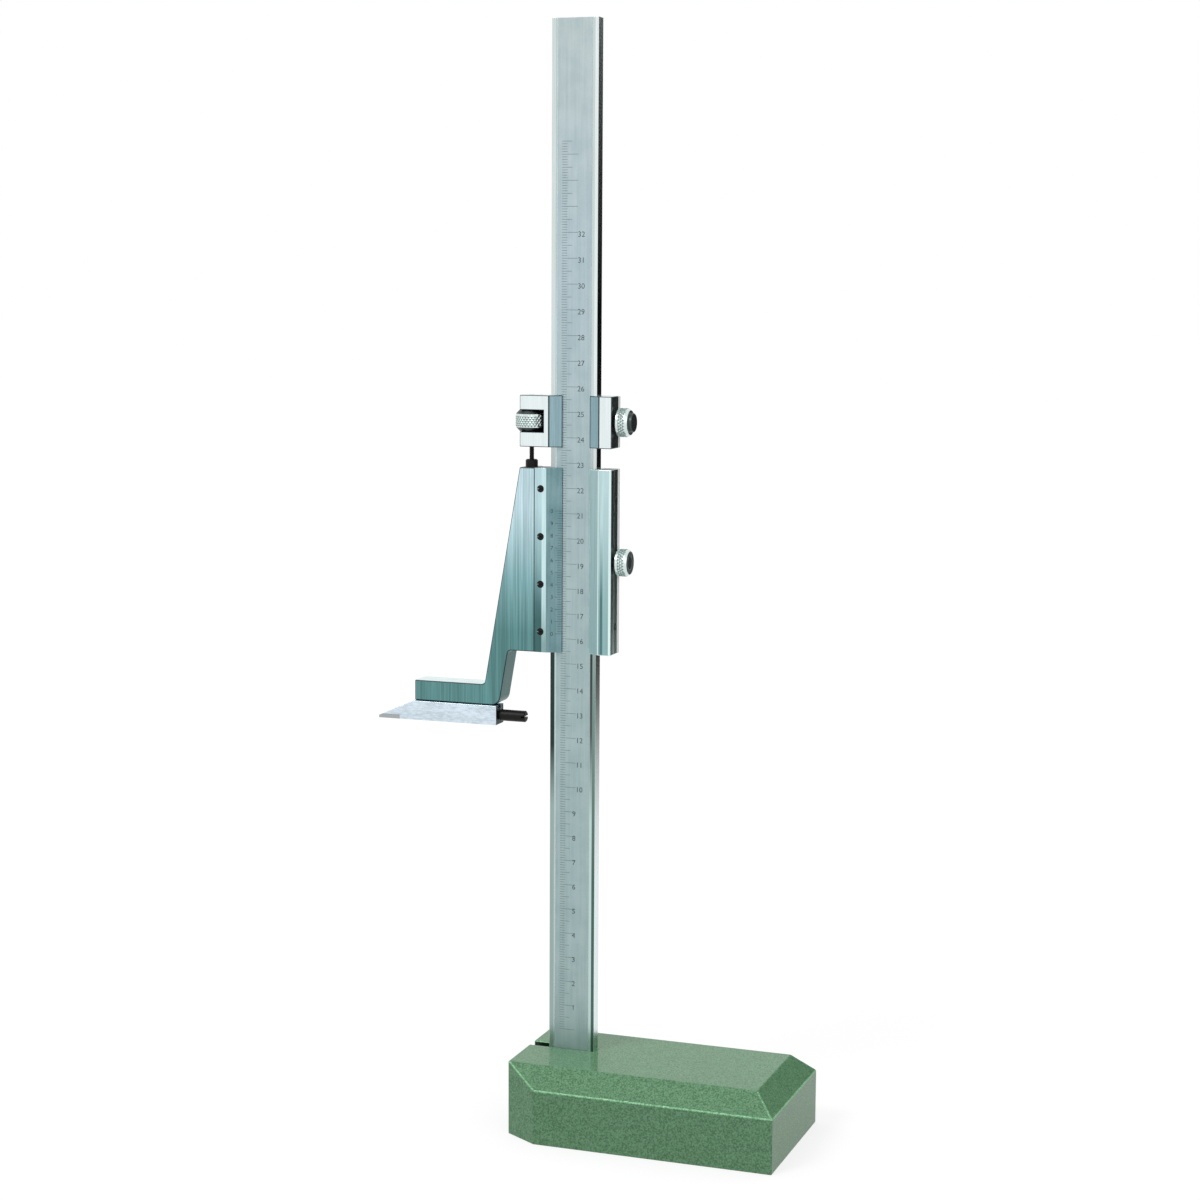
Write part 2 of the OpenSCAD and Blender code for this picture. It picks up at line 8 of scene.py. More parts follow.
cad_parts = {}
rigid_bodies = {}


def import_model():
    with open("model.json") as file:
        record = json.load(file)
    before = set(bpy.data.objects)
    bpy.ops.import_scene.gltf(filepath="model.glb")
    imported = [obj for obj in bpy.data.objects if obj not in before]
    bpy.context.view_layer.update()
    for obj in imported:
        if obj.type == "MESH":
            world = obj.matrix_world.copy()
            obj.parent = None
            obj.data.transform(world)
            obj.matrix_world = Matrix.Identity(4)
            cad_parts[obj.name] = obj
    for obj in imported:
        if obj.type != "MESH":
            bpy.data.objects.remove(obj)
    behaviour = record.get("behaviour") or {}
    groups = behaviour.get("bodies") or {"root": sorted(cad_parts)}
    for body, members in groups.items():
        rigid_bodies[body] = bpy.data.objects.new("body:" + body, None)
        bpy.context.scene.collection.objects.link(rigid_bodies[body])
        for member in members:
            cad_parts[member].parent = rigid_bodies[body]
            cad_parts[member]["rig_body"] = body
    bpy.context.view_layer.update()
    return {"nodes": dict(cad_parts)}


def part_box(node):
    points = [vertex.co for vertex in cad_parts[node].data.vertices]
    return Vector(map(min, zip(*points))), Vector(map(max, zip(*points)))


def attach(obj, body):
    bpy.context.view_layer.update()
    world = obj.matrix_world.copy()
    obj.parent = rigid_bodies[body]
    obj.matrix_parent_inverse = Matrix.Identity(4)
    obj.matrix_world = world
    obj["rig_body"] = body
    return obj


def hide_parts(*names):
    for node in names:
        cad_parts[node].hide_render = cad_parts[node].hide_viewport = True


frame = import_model()


# Base. A cast iron block with bevelled top edges and two cut corners, ground flat underneath. It
# is finished in a glossy grey-green hammered enamel, and a slot in its left end takes the beam.

mm = 0.001
base_edge = 0.4 * mm
enamel_dark = (0.060, 0.170, 0.075)
enamel_light = (0.165, 0.345, 0.192)
enamel_fleck = (0.290, 0.450, 0.320)
edge_highlight_lift = 2.1
slot_shade_lift = 0.06
mottle_size = 3.2 * mm
fleck_size = 0.70 * mm
shortest_broken = 3 * mm
slot_reach = 9 * mm
slot_play = 1 * mm


class Wire:
    """A socket in a node tree. Arithmetic on it adds the nodes that work the sum out."""

    def __init__(self, tree, socket=None):
        self.tree = tree
        self.socket = socket

    def node(self, kind, settings, values, output=0):
        """A new node: its settings first, then a value or a wire for each socket. Gives one output."""
        made = self.tree.nodes.new(kind)
        stops = settings.pop("stops", ())
        for name, value in settings.items():
            setattr(made, name, value)
        for place, (position, colour) in enumerate(stops):
            ramp = made.color_ramp.elements
            stop = ramp[place] if place < 2 else ramp.new(position)
            stop.position = position
            stop.color = (*colour, 1.0)
        for name, value in values.items():
            if isinstance(value, Wire):
                self.tree.links.new(value.socket, made.inputs[name])
            else:
                made.inputs[name].default_value = value
        return Wire(self.tree, made.outputs[output] if made.outputs else None)

    def arithmetic(self, operation, first, second):
        """One step of arithmetic, on numbers or on vectors and colours."""
        terms = [term for term in (first, second) if isinstance(term, Wire)]
        spread = any(term.socket.type in ("VECTOR", "RGBA") for term in terms)
        kind = "ShaderNodeVectorMath" if spread else "ShaderNodeMath"
        return self.node(kind, {"operation": operation}, {0: first, 1: second})

    def __add__(self, other):
        return self.arithmetic("ADD", self, other)

    def __radd__(self, other):
        return self.arithmetic("ADD", other, self)

    def __sub__(self, other):
        return self.arithmetic("SUBTRACT", self, other)

    def __rsub__(self, other):
        return self.arithmetic("SUBTRACT", other, self)

    def __mul__(self, other):
        return self.arithmetic("MULTIPLY", self, other)

    def __rmul__(self, other):
        return self.arithmetic("MULTIPLY", other, self)

    def __truediv__(self, other):
        return self.arithmetic("DIVIDE", self, other)

    def __rtruediv__(self, other):
        return self.arithmetic("DIVIDE", other, self)

    def __mod__(self, other):
        return self.arithmetic("MODULO", self, other)


def new_material(name):
    """A material with an empty tree, and the wire that its nodes start from."""
    material = bpy.data.materials.new(name)
    material.use_nodes = True
    material.node_tree.nodes.clear()
    return material, Wire(material.node_tree)


def finished(material, root, shader):
    """The material, with the shader joined to its output."""
    root.node("ShaderNodeOutputMaterial", {}, {"Surface": shader})
    return material


def surfaced(material, root, values):
    """The material, with a surface shader of these values."""
    return finished(material, root, root.node("ShaderNodeBsdfPrincipled", {}, values))


def place_on_object(root, stretch=(1, 1, 1)):
    """Object coordinates times a stretch for each axis."""
    spot = root.node("ShaderNodeTexCoord", {}, {}, "Object")
    return root.node("ShaderNodeVectorMath", {"operation": "MULTIPLY"}, {0: spot, 1: stretch})


def cloud(root, spot, size, detail=2.0, rough=0.5):
    """Soft noise from 0 to 1, with lumps of this size."""
    values = {"Vector": spot, "Scale": 1 / size, "Detail": detail, "Roughness": rough}
    return root.node("ShaderNodeTexNoise", {}, values)


def between(root, first, second, share):
    """A colour that runs from the first to the second as share goes from 0 to 1."""
    colours = [c if isinstance(c, Wire) else (*c, 1.0) for c in (first, second)]
    return root.node("ShaderNodeMix", {"data_type": "RGBA"}, {0: share, 6: colours[0], 7: colours[1]}, 2)


def narrowed(root, value, low, high):
    """0 below low, 1 above high, and a smooth rise between them."""
    settings = {"interpolation_type": "SMOOTHSTEP"}
    return root.node("ShaderNodeMapRange", settings, {"Value": value, "From Min": low, "From Max": high})


def grained_normal(root, height, distance, strength=1.0):
    """A bumped normal from a height between 0 and 1 and the real depth of the grain."""
    return root.node("ShaderNodeBump", {}, {"Strength": strength, "Distance": distance, "Height": height})


def hammered_enamel(name, lift=1.0):
    """Glossy enamel with a fine hammered speckle; the lift scales its colours: paler on the edge rounds,
    for thin paint and a painted highlight, and near black for the painted shade in the beam's slot.
    """
    material, root = new_material(name)
    spot = place_on_object(root)
    mottle = cloud(root, spot, mottle_size, 3.0)
    grain = cloud(root, spot, fleck_size, 3.0, 0.7)
    fleck = narrowed(root, cloud(root, spot, 0.9 * fleck_size, 1.0), 0.58, 0.70)
    dark, light, pale = [
        [lift * channel for channel in colour] for colour in (enamel_dark, enamel_light, enamel_fleck)
    ]
    body = between(root, dark, light, narrowed(root, 0.12 * mottle + 0.88 * grain, 0.36, 0.64))
    colour = between(root, body, pale, 0.35 * fleck)
    return surfaced(material, root, {
        "Base Color": colour,
        "Roughness": 0.34 + 0.16 * grain,
        "Specular IOR Level": 0.08,
        "Coat Weight": 0.4,
        "Coat Roughness": 0.03,
        "Normal": grained_normal(root, grain, 0.02 * mm, 0.4),
    })


def loose_object(name, mesh):
    """An object for a mesh, in the scene, at the origin."""
    piece = bpy.data.objects.new(name, mesh)
    bpy.context.scene.collection.objects.link(piece)
    return piece


def object_of(name, shape):
    """An object made of a shape."""
    mesh = bpy.data.meshes.new(name)
    shape.to_mesh(mesh)
    shape.free()
    return loose_object(name, mesh)


def settled(piece):
    """The piece with its modifiers worked into its mesh."""
    worked = piece.evaluated_get(bpy.context.evaluated_depsgraph_get())
    mesh = bpy.data.meshes.new_from_object(worked)
    piece.modifiers.clear()
    piece.data = mesh
    return piece


def smoothed(piece, angle=35):
    """Smooth faces with sharp edges kept, and flat faces flat up to their bevels."""
    piece.data.shade_smooth()
    piece.data.set_sharp_from_angle(angle=math.radians(angle))
    weighted = piece.modifiers.new("flat faces", "WEIGHTED_NORMAL")
    weighted.keep_sharp = True
    return settled(piece)


def merged_copy(node):
    """The node's shape with its loose triangles joined and its flat faces made whole."""
    shape = bmesh.new()
    shape.from_mesh(frame["nodes"][node].data)
    bmesh.ops.remove_doubles(shape, verts=shape.verts, dist=0.002 * mm)
    bmesh.ops.dissolve_limit(shape, angle_limit=math.radians(0.4), verts=shape.verts, edges=shape.edges)
    return shape


def broken_edges(node, name, width, own_edges=False):
    """A copy of a node with its long sharp edges broken by a small round, as a file leaves them.

    The rounds take the piece's second material when they are to have one of their own."""
    shape = merged_copy(node)
    weight = shape.edges.layers.float.new("bevel_weight_edge")
    paired = [edge for edge in shape.edges if len(edge.link_faces) == 2]
    sharp = {edge for edge in paired if edge.calc_face_angle() > math.radians(25)}
    chosen = {edge for edge in sharp if edge.calc_length() > shortest_broken}
    reached = list(chosen)
    while reached:
        for vertex in reached.pop().verts:
            nearby = [edge for edge in vertex.link_edges if edge in sharp and edge not in chosen]
            chosen.update(nearby)
            reached.extend(nearby)
    for edge in chosen:
        edge[weight] = 1.0
    piece = object_of(name, shape)
    for slot in range(2):
        piece.data.materials.append(None)
    bevel = piece.modifiers.new("broken edges", "BEVEL")
    bevel.limit_method = "WEIGHT"
    bevel.width = width
    bevel.segments = 3
    bevel.use_clamp_overlap = False
    bevel.material = 1 if own_edges else 0
    return smoothed(settled(piece))


def dressed(piece, *materials):
    """Gives a piece or a CAD node its material, and maybe another for its broken edges."""
    worn = [face.material_index for face in piece.data.polygons]
    piece.data.materials.clear()
    for material in materials:
        piece.data.materials.append(material)
    if len(materials) > 1:
        piece.data.polygons.foreach_set("material_index", worn)
    return piece


def stands_for(piece, node):
    """The piece takes the node's place, on the body that carries the node."""
    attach(piece, frame["nodes"][node]["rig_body"])
    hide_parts(node)


def faced(piece, material, chosen):
    """Gives a further material to the faces that the test picks."""
    piece.data.materials.append(material)
    for face in piece.data.polygons:
        if chosen(face):
            face.material_index = len(piece.data.materials) - 1
    return piece


def in_beam_slot(face):
    """Whether an upright face lies inside the slot for the beam."""
    spot = face.center
    in_depth = beam_low.y - slot_play < spot.y < beam_high.y + slot_reach
    in_length = base_low.x + slot_play / 2 < spot.x < beam_high.x + slot_play
    return in_depth and in_length and abs(face.normal.z) < 0.1


enamel = hammered_enamel("hammered_enamel")
base_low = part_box("base")[0]
beam_low, beam_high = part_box("beam")
base_block = dressed(broken_edges("base", "base_block", base_edge, own_edges=True), enamel, enamel)
# Paler enamel on the upward-facing edge rounds: partly thin paint, partly a painted highlight.
faced(base_block, hammered_enamel("thin_enamel_and_highlight", edge_highlight_lift),
      lambda face: face.material_index == 1 and 0.1 < face.normal.z < 0.82)
# Near-black enamel inside the beam's slot: painted shade.
faced(base_block, hammered_enamel("slot_shaded_enamel", slot_shade_lift), in_beam_slot)
stands_for(base_block, "base")


# Beam. A stainless steel bar with ground faces and edges. The scale's ground is sunk a little
# between two bright margins and is finished in satin chrome so that the lines read without glare.

beam_edge = 0.12 * mm
recess_depth = 0.2 * mm
near = 0.01 * mm
left_strip = 1.8 * mm
right_margin = 16.9 * mm
right_strip = 17.9 * mm
margin_tint = (0.74, 0.83, 0.83)
chrome_dark = (0.42, 0.52, 0.55)
chrome_light = (0.52, 0.61, 0.64)
# Painted reflection and shade by height on the scale's ground: darker towards the foot, pale and warm at
# the top.
chrome_painted_shade = [
    (60 * mm, (0.74, 0.81, 0.77)), (180 * mm, (0.79, 0.85, 0.82)),
    (350 * mm, (0.93, 0.955, 0.965)), (440 * mm, (0.99, 0.96, 0.93)),
]
# Painted shade and reflection on the margins' strips: dark just below the slider where it rests, paler
# higher up.
left_edge_painted_light = [
    (130 * mm, (0.33, 0.43, 0.41)), (155 * mm, (0.03, 0.05, 0.05)),
    (200 * mm, (0.03, 0.05, 0.05)), (300 * mm, (0.64, 0.72, 0.71)),
]
left_dull = (0.48, 0.58, 0.58)
inner_right_painted_light = [
    (125 * mm, (0.50, 0.66, 0.63)), (160 * mm, (0.09, 0.12, 0.11)),
    (205 * mm, (0.015, 0.03, 0.03)), (290 * mm, (0.60, 0.68, 0.68)),
]
outer_right_painted_light = [
    (100 * mm, (0.08, 0.14, 0.12)), (175 * mm, (0.21, 0.31, 0.28)), (300 * mm, (0.80, 0.86, 0.86)),
]
side_painted_shade = [
    (100 * mm, (0.74, 0.83, 0.83)), (125 * mm, (0.63, 0.71, 0.71)), (157 * mm, (0.32, 0.37, 0.36)),
    (175 * mm, (0.15, 0.18, 0.17)), (330 * mm, (0.07, 0.09, 0.09)), (400 * mm, (0.74, 0.83, 0.83)),
]


def place_along(root, axis):
    """How far a point lies along one of the object's axes."""
    spot = root.node("ShaderNodeTexCoord", {}, {}, "Object")
    return root.node("ShaderNodeSeparateXYZ", {}, {"Vector": spot}, axis)


def by_height(root, stops):
    """A colour that changes up the part, from stops of a height and a colour."""
    low, high = stops[0][0], stops[-1][0]
    share = (place_along(root, "Z") - low) * (1 / (high - low))
    ramp = [((height - low) / (high - low), colour) for height, colour in stops]
    return root.node("ShaderNodeValToRGB", {"stops": ramp}, {"Fac": share})


def across(root, edge, first, second, axis="X"):
    """The first colour up to this place on the axis and the second one beyond it."""
    share = narrowed(root, place_along(root, axis), edge - 0.1 * mm, edge + 0.1 * mm)
    return between(root, first, second, share)


def ground_steel(name, tint, roughness=0.30, grain=0.35 * mm, along=(1, 1, 0.02), contrast=0.18):
    """Steel ground along one axis: fine streaks in its colour, its roughness and its surface.

    The tint is one colour, or a function that makes the colour's nodes."""
    material, root = new_material(name)
    spot = place_on_object(root, along)
    fine = cloud(root, spot, grain, 3.0, 0.6)
    broad = cloud(root, spot, grain / 0.12, 2.0)
    streak = narrowed(root, 0.6 * fine + 0.4 * broad, 0.34, 0.66)
    colour = tint(root) if callable(tint) else root.node("ShaderNodeCombineXYZ", {}, dict(zip("XYZ", tint)))
    return surfaced(material, root, {
        "Base Color": colour * (1 - 0.6 * contrast + 1.1 * contrast * streak),
        "Metallic": 1.0,
        "Roughness": roughness + 0.10 * fine - 0.05,
        "Normal": grained_normal(root, fine, 0.004 * mm, 0.5),
    })


def satin_chrome(name, dark, light, shade):
    """Matt plated steel: an even fine grain with faint broad clouds from handling; its colour is multiplied
    by a painted shade that changes with height.
    """
    material, root = new_material(name)
    spot = place_on_object(root)
    grain = cloud(root, spot, 0.18 * mm, 2.0, 0.7)
    streak = cloud(root, place_on_object(root, (1, 1, 0.03)), 0.9 * mm, 2.0)
    handled = cloud(root, spot, 9 * mm, 3.0)
    share = narrowed(root, 0.35 * grain + 0.30 * streak + 0.35 * handled, 0.36, 0.62)
    return surfaced(material, root, {
        "Base Color": between(root, dark, light, share) * by_height(root, shade),
        "Metallic": 1.0,
        "Roughness": 0.46 + 0.12 * grain,
        "Normal": grained_normal(root, grain, 0.004 * mm, 0.5),
    })


def margins(root):
    """The ground margins beside the scale, each with a strip of painted light and shade by height: dark
    just below the slider where it rests, paler higher up.
    """
    left = across(root, beam_low.x + left_strip, by_height(root, left_edge_painted_light), left_dull)
    inner = by_height(root, inner_right_painted_light)
    right = across(root, beam_low.x + right_strip, inner, by_height(root, outer_right_painted_light))
    return across(root, beam_low.x + right_margin, left, right)


recess_y = beam_low.y + recess_depth
beam_bar = broken_edges("beam", "beam_bar", beam_edge)
dressed(beam_bar, ground_steel("beam_back_steel", margin_tint, 0.26))
faced(beam_bar, satin_chrome("scale_ground", chrome_dark, chrome_light, chrome_painted_shade),
      lambda face: abs(face.center.y - recess_y) < near)
faced(beam_bar, ground_steel("beam_margin_steel", margins, 0.26, contrast=0.10),
      lambda face: face.center.y < beam_low.y + near)
# Painted shade and reflection on the beam's right side: dark along most of its height, pale near its ends.
side_steel = ground_steel(
    "beam_side_steel", lambda root: by_height(root, side_painted_shade), 0.26, contrast=0.10)
faced(beam_bar, side_steel, lambda face: face.normal.x > 0.9 and face.center.x > beam_high.x - near)
stands_for(beam_bar, "beam")


# Beam's graduations. A line each millimetre, longer at each fifth and tenth, and the number of
# centimetres at each tenth line. They are etched into the recess and filled with black.

scale_zero = 38 * mm
scale_length = 355 * mm
scale_left = 4.3 * mm
short_line = 2.2 * mm
middle_line = 4.2 * mm
long_line = 6.6 * mm
line_width = 0.16 * mm
ink_depth = 0.02 * mm
numeral_height = 2.1 * mm
numeral_drop = 0.7 * mm
single_digit_back = 1.4 * mm


def inked(name, colour=(0.045, 0.075, 0.085)):
    """Black fill in etched lines, worn a little thin in places."""
    material, root = new_material(name)
    spot = place_on_object(root)
    wear = narrowed(root, cloud(root, spot, 1.4 * mm, 3.0), 0.45, 0.75)
    worn = [0.6 * channel + 0.12 for channel in colour]
    return surfaced(material, root, {
        "Base Color": between(root, colour, worn, wear),
        "Roughness": 0.55 + 0.2 * wear,
    })


def geometry_tree(name, sizes):
    """A geometry tree with a named input for each size, and the wire that its nodes start from."""
    tree = bpy.data.node_groups.new(name, "GeometryNodeTree")
    for size, kind in sizes.items():
        tree.interface.new_socket(size, in_out="INPUT", socket_type="NodeSocket" + kind)
    tree.interface.new_socket("Geometry", in_out="OUTPUT", socket_type="NodeSocketGeometry")
    root = Wire(tree)
    given = tree.nodes.new("NodeGroupInput")
    return tree, root, {size: Wire(tree, given.outputs[size]) for size in sizes}


def end_tree(root, geometry, material):
    """Makes the instances real, sets their material and ends the tree."""
    real = root.node("GeometryNodeRealizeInstances", {}, {"Geometry": geometry})
    painted = root.node("GeometryNodeSetMaterial", {}, {"Geometry": real, "Material": material})
    root.node("NodeGroupOutput", {}, {"Geometry": painted})


def grown(tree, name, values):
    """A plain mesh object of what the tree makes from these values."""
    piece = loose_object(name, bpy.data.meshes.new(name))
    grower = piece.modifiers.new(name, "NODES")
    grower.node_group = tree
    sockets = {item.name: item.identifier for item in tree.interface.items_tree if item.in_out == "INPUT"}
    for size, value in values.items():
        grower[sockets[size]] = value
    return settled(piece)


def ruled_lines(material):
    """Lines up a scale: a short one at each step, longer ones at each fifth and tenth."""
    tree, root, size = geometry_tree("ruled_lines", {
        "Count": "Int", "Pitch": "Float", "Width": "Float", "Depth": "Float",
        "Short": "Float", "Middle": "Float", "Long": "Float",
        "Middle every": "Int", "Long every": "Int",
    })

    def every(step):
        """1 at each line whose number this step divides, and 0 at the others."""
        rest = root.node("GeometryNodeInputIndex", {}, {}) % step
        return root.node("ShaderNodeMath", {"operation": "LESS_THAN"}, {0: rest, 1: 0.5})

    step = root.node("ShaderNodeCombineXYZ", {}, {"Z": size["Pitch"]})
    places = root.node("GeometryNodeMeshLine", {}, {"Count": size["Count"], "Offset": step})
    block = root.node("GeometryNodeMeshCube", {}, {"Size": (1.0, 1.0, 1.0)})
    from_left = root.node("GeometryNodeTransform", {}, {"Geometry": block, "Translation": (0.5, 0.0, 0.0)})
    middle = every(size["Middle every"]) * (size["Middle"] - size["Short"])
    longer = every(size["Long every"]) * (size["Long"] - size["Middle"])
    length = size["Short"] + middle + longer
    shape = root.node("ShaderNodeCombineXYZ", {}, {"X": length, "Y": size["Depth"], "Z": size["Width"]})
    lines = root.node("GeometryNodeInstanceOnPoints", {}, {
        "Points": places, "Instance": from_left, "Scale": shape,
    })
    end_tree(root, lines, material)
    return tree


def numeral(text, height):
    """The mesh of a short text, standing in the XZ plane and facing the front, centred in height."""
    curve = bpy.data.curves.new("numeral", "FONT")
    curve.body = text
    curve.size = height / 0.7
    curve.extrude = ink_depth / 2
    curve.resolution_u = 3
    curve.align_x = "LEFT"
    curve.align_y = "CENTER"
    holder = loose_object("numeral", curve)
    bpy.context.view_layer.update()
    worked = holder.evaluated_get(bpy.context.evaluated_depsgraph_get())
    mesh = bpy.data.meshes.new_from_object(worked)
    bpy.data.objects.remove(holder)
    middle = (max(v.co.y for v in mesh.vertices) + min(v.co.y for v in mesh.vertices)) / 2
    mesh.transform(Matrix.Rotation(math.radians(90), 4, "X") @ Matrix.Translation((0, -middle, 0)))
    return mesh


def row_of_numerals(name, texts, places, height, turn=Matrix.Identity(4)):
    """One mesh of several numerals, each turned and put at its place."""
    shape = bmesh.new()
    for text, place in zip(texts, places):
        mesh = numeral(text, height)
        mesh.transform(Matrix.Translation(place) @ turn)
        shape.from_mesh(mesh)
        bpy.data.meshes.remove(mesh)
    bmesh.ops.remove_doubles(shape, verts=shape.verts, dist=0.0005 * mm)
    return object_of(name, shape)


line_tree = ruled_lines(inked("line_ink", (0.13, 0.18, 0.19)))
ink_y = recess_y - ink_depth / 2
beam_lines = grown(line_tree, "beam_lines", {
    "Count": round(scale_length / mm) + 1, "Pitch": 1 * mm, "Width": line_width, "Depth": ink_depth,
    "Short": short_line, "Middle": middle_line, "Long": long_line, "Middle every": 5, "Long every": 10,
})
beam_lines.data.transform(Matrix.Translation((beam_low.x + scale_left, ink_y, scale_zero)))
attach(beam_lines, "stand")

centimetres = range(1, 33)
numeral_left = [scale_left + long_line - (single_digit_back if n < 10 else 0) for n in centimetres]
numeral_spots = [
    (beam_low.x + left, ink_y, scale_zero - numeral_drop + n * 10 * mm)
    for left, n in zip(numeral_left, centimetres)
]
beam_numerals = row_of_numerals(
    "beam_numerals", [str(n) for n in centimetres], numeral_spots, numeral_height)
dressed(beam_numerals, inked("beam_ink"))
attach(beam_numerals, "stand")


# Beam's cap screws. Two black socket head screws go in from the back of the base and clamp the
# beam against the front of its slot.

def black_oxide(name, shine=0.32):
    """Blackened steel: near black, oily, with a faint brown bloom and rubbed high spots."""
    material, root = new_material(name)
    spot = place_on_object(root)
    bloom = cloud(root, spot, 1.1 * mm, 3.0)
    grain = cloud(root, spot, 0.12 * mm, 2.0)
    return surfaced(material, root, {
        "Base Color": between(root, (0.004, 0.005, 0.005), (0.014, 0.013, 0.012), bloom),
        "Metallic": 0.2,
        "Specular IOR Level": 0.2,
        "Roughness": shine + 0.14 * grain,
        "Normal": grained_normal(root, grain, 0.004 * mm, 0.4),
    })


blackened = black_oxide("blackened_steel")
dressed(frame["nodes"]["beam_screws"], blackened)


# Slider's frame. The left member of the slider with its long arm and the dovetail foot, sawn and
# ground from one plate of tool steel, with the grinding lines running up the arm.

slider_edge = 0.35 * mm
arm_painted_shade = [
    (200 * mm, (0.12, 0.27, 0.27)), (221 * mm, (0.23, 0.43, 0.45)), (250 * mm, (0.54, 0.72, 0.78)),
]
edge_painted_shade = (0.035, 0.05, 0.05)
top_shade = (0.20, 0.19, 0.17)
leg_painted_shade = (0.05, 0.13, 0.125)
foot_top_area = 30 * mm * mm
top_band = 1 * mm

bar_low, bar_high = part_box("slider_rail")
# Painted reflection and shade by height: the arm's colour darkens towards its foot.
arm_steel = ground_steel(
    "arm_steel", lambda root: by_height(root, arm_painted_shade), 0.30, 0.5 * mm, (1, 1, 0.015), 0.45)
# Painted shade: near-black steel for the broken edges of the arm and the feed blocks.
dark_edge = ground_steel("dark_edge_steel", edge_painted_shade, 0.35)
# Painted shade: dark brownish steel for the slider's top faces.
upper_face_shade = ground_steel("upper_face_shade_steel", top_shade, 0.45)
# Painted highlight: pale steel for the foot's top face and the right bar's broken edges.
pale_highlight_steel = ground_steel("painted_edge_highlight_steel", (0.70, 0.85, 0.84), 0.24)
slider_frame = broken_edges("slider_frame", "slider_arm", slider_edge, own_edges=True)
dressed(slider_frame, arm_steel, dark_edge)
# Painted shade: the leg's right side is given dark steel.
faced(slider_frame, ground_steel("leg_side_steel", leg_painted_shade, 0.35),
      lambda face: face.normal.x > 0.7 and face.center.z < bar_low.z)
faced(slider_frame, pale_highlight_steel, lambda face: face.normal.z > 0.9 and face.area > foot_top_area)
faced(slider_frame, upper_face_shade, lambda face: face.normal.z > 0.9 and face.center.z > bar_high.z - top_band)
stands_for(slider_frame, "slider_frame")


# Slider's right member, back plate and gib. Ground steel bars; the right member's sloping edge
# lies over the beam, the plate closes the channel behind, and the gib takes up the play.

bar_edge = 0.3 * mm
# Painted shade by height on the bar's front, and a painted highlight along its right edge.
bar_painted_shade = [
    (195 * mm, (0.27, 0.45, 0.45)), (215 * mm, (0.31, 0.49, 0.49)), (258 * mm, (0.52, 0.70, 0.72)),
]
bar_line_tints = [(215 * mm, (0.10, 0.21, 0.22)), (245 * mm, (0.52, 0.70, 0.72))]
slope_painted_shade = [(195 * mm, (0.28, 0.43, 0.44)), (258 * mm, (0.37, 0.52, 0.53))]
painted_edge_highlight = (0.72, 0.90, 0.89)
side_dark = (0.36, 0.52, 0.48)
side_light = (0.90, 1.0, 0.97)
rear_tint = (0.98, 1.0, 0.99)
line_from = 21.8 * mm
line_to = 22.9 * mm
bright_width = 1.0 * mm
strip_from = 2.8 * mm
strip_to = 4.6 * mm
slope_area = 20 * mm * mm


def bar_colour(root):
    """The bar's front, darker towards its foot by painted shade, with a painted highlight along its right
    edge and the dark line of a grinding wheel's edge in its lower half.
    """
    plain = by_height(root, bar_painted_shade)
    plain = across(root, bar_high.x - bright_width, plain, painted_edge_highlight)
    line_end = across(root, beam_low.x + line_to, by_height(root, bar_line_tints), plain)
    return across(root, beam_low.x + line_from, plain, line_end)


def bar_side(root):
    """The bar's outer side, with a lighter strip along its middle."""
    light = across(root, bar_low.y + strip_to, side_light, side_dark, "Y")
    return across(root, bar_low.y + strip_from, side_dark, light, "Y")


def sloping(face):
    """Whether a face slopes down to the beam."""
    return face.normal.y < -0.2 and abs(face.normal.x) > 0.15


rail_steel = ground_steel("rail_steel", bar_side, 0.28, 0.4 * mm, (1, 1, 0.015), 0.30)
bar_front = ground_steel("bar_front_steel", bar_colour, 0.28, 0.4 * mm, (1, 1, 0.015), 0.16)
# Painted shade and reflection: the sloping faces darker than the front, and darker towards the foot.
bar_slope = ground_steel("bar_slope_steel", lambda root: by_height(root, slope_painted_shade), 0.30)
slider_bar = broken_edges("slider_rail", "slider_right_bar", bar_edge, own_edges=True)
dressed(slider_bar, rail_steel, pale_highlight_steel)
faced(slider_bar, bar_front, lambda face: face.normal.y < -0.98)
faced(slider_bar, bar_slope, lambda face: sloping(face) and face.area > slope_area)
faced(slider_bar, upper_face_shade, lambda face: face.normal.z > 0.9)
stands_for(slider_bar, "slider_rail")


def grainy_metal(name, dark, light, grain, roughness, metallic=1.0, detail=2.0):
    """Metal with an even grain in its colour and its roughness, which is given as a least and a rise."""
    material, root = new_material(name)
    specks = cloud(root, place_on_object(root), grain, detail)
    return surfaced(material, root, {
        "Base Color": between(root, dark, light, specks),
        "Metallic": metallic,
        "Roughness": roughness[0] + roughness[1] * specks,
    })


dull_rear = [0.92 * channel for channel in rear_tint]
plate_steel = grainy_metal("pale_nickel", dull_rear, rear_tint, 0.3 * mm, (0.55, 0.1), 0.25)
slider_plate = dressed(broken_edges("slider_back_plate", "slider_rear_plate", bar_edge), plate_steel)
stands_for(slider_plate, "slider_back_plate")
dressed(frame["nodes"]["slider_gib"], rail_steel)


# Slider's small screws. Slotted countersunk screws hold the back plate, and two black set screws
# in the right face press on the gib.

def turned_steel(name, tint, roughness=0.30):
    """Bright steel from the lathe, with a very fine even grain."""
    material, root = new_material(name)
    spot = place_on_object(root)
    grain = cloud(root, spot, 0.10 * mm, 2.0)
    handled = cloud(root, spot, 2.5 * mm, 3.0)
    dull = [0.8 * channel for channel in tint]
    return surfaced(material, root, {
        "Base Color": between(root, dull, tint, handled),
        "Metallic": 1.0,
        "Roughness": roughness + 0.08 * grain,
        "Normal": grained_normal(root, grain, 0.003 * mm, 0.4),
    })


screw_steel = turned_steel("screw_steel", (0.45, 0.48, 0.49))
dressed(frame["nodes"]["slider_back_screws"], screw_steel)
dressed(frame["nodes"]["gib_screws"], blackened)


